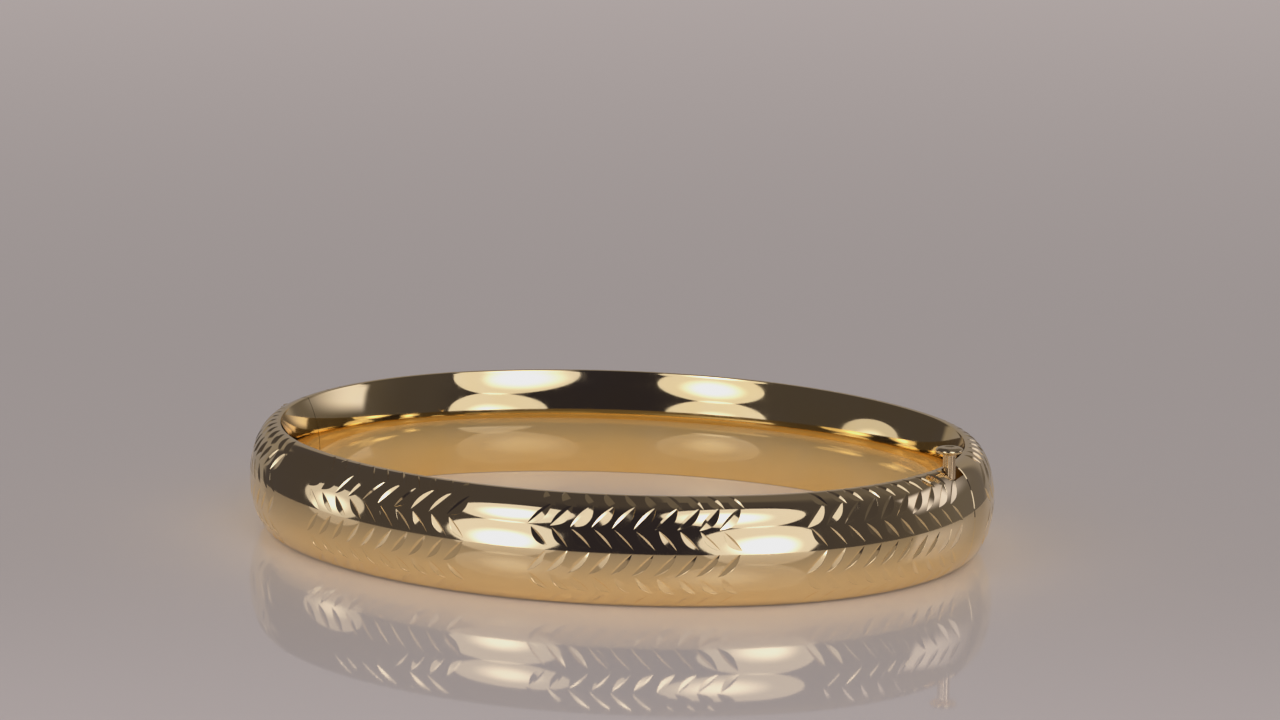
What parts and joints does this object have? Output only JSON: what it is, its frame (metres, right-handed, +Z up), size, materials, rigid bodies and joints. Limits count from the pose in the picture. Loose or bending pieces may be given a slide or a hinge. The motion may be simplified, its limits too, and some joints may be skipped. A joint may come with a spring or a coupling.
{
  "type": "hinged bangle bracelet",
  "caption": "Oval hinged bangle in hollow yellow gold, domed outside with cut herringbone engraving, with a push-button tongue clasp.",
  "frame": {"origin": "centre of the wrist opening, on the plane that the bangle lies on", "axes": "+Z up through the wrist opening, +X along the oval's long axis to the clasp, -X to the hinge, -Y to the front half with the button"},
  "size_m": [0.0668, 0.0572, 0.0115],
  "materials": {
    "engraved_gold": "mirror-polished yellow gold with bright diamond-cut strokes",
    "lining_gold": "mirror-polished yellow gold",
    "fitting_gold": "satin-polished yellow gold",
    "button_gold": "polished yellow gold"
  },
  "bodies": {
    "back_half": {"back_outer_shell": "engraved_gold", "back_inner_lining": "lining_gold", "back_clasp_end_plate": "fitting_gold", "back_hinge_end_plate": "fitting_gold", "upper_hinge_knuckle": "fitting_gold", "lower_hinge_knuckle": "fitting_gold", "hinge_pin": "fitting_gold", "tongue_base_leaf": "fitting_gold"},
    "front_half": {"front_outer_shell": "engraved_gold", "front_inner_lining": "lining_gold", "front_clasp_end_plate": "fitting_gold", "front_hinge_end_plate": "fitting_gold", "centre_hinge_knuckle": "fitting_gold", "catch_guide": "fitting_gold"},
    "push_button": {"tongue_spring_leaf": "fitting_gold", "button_stem": "button_gold", "button_cap": "button_gold"}
  },
  "joints": [
    {"name": "bangle_hinge", "type": "hinge", "parent": "back_half", "child": "front_half", "pos_m": [-0.03265, 0, 0.00475], "axis": [0, 0, -1], "range_deg": [0, 60]},
    {"name": "button_press", "type": "hinge", "parent": "back_half", "child": "push_button", "pos_m": [0.0317, -0.005, 0.004], "axis": [-1, 0, 0], "range_deg": [0, 9], "stiffness_Nm_per_rad": 0.005}
  ]
}
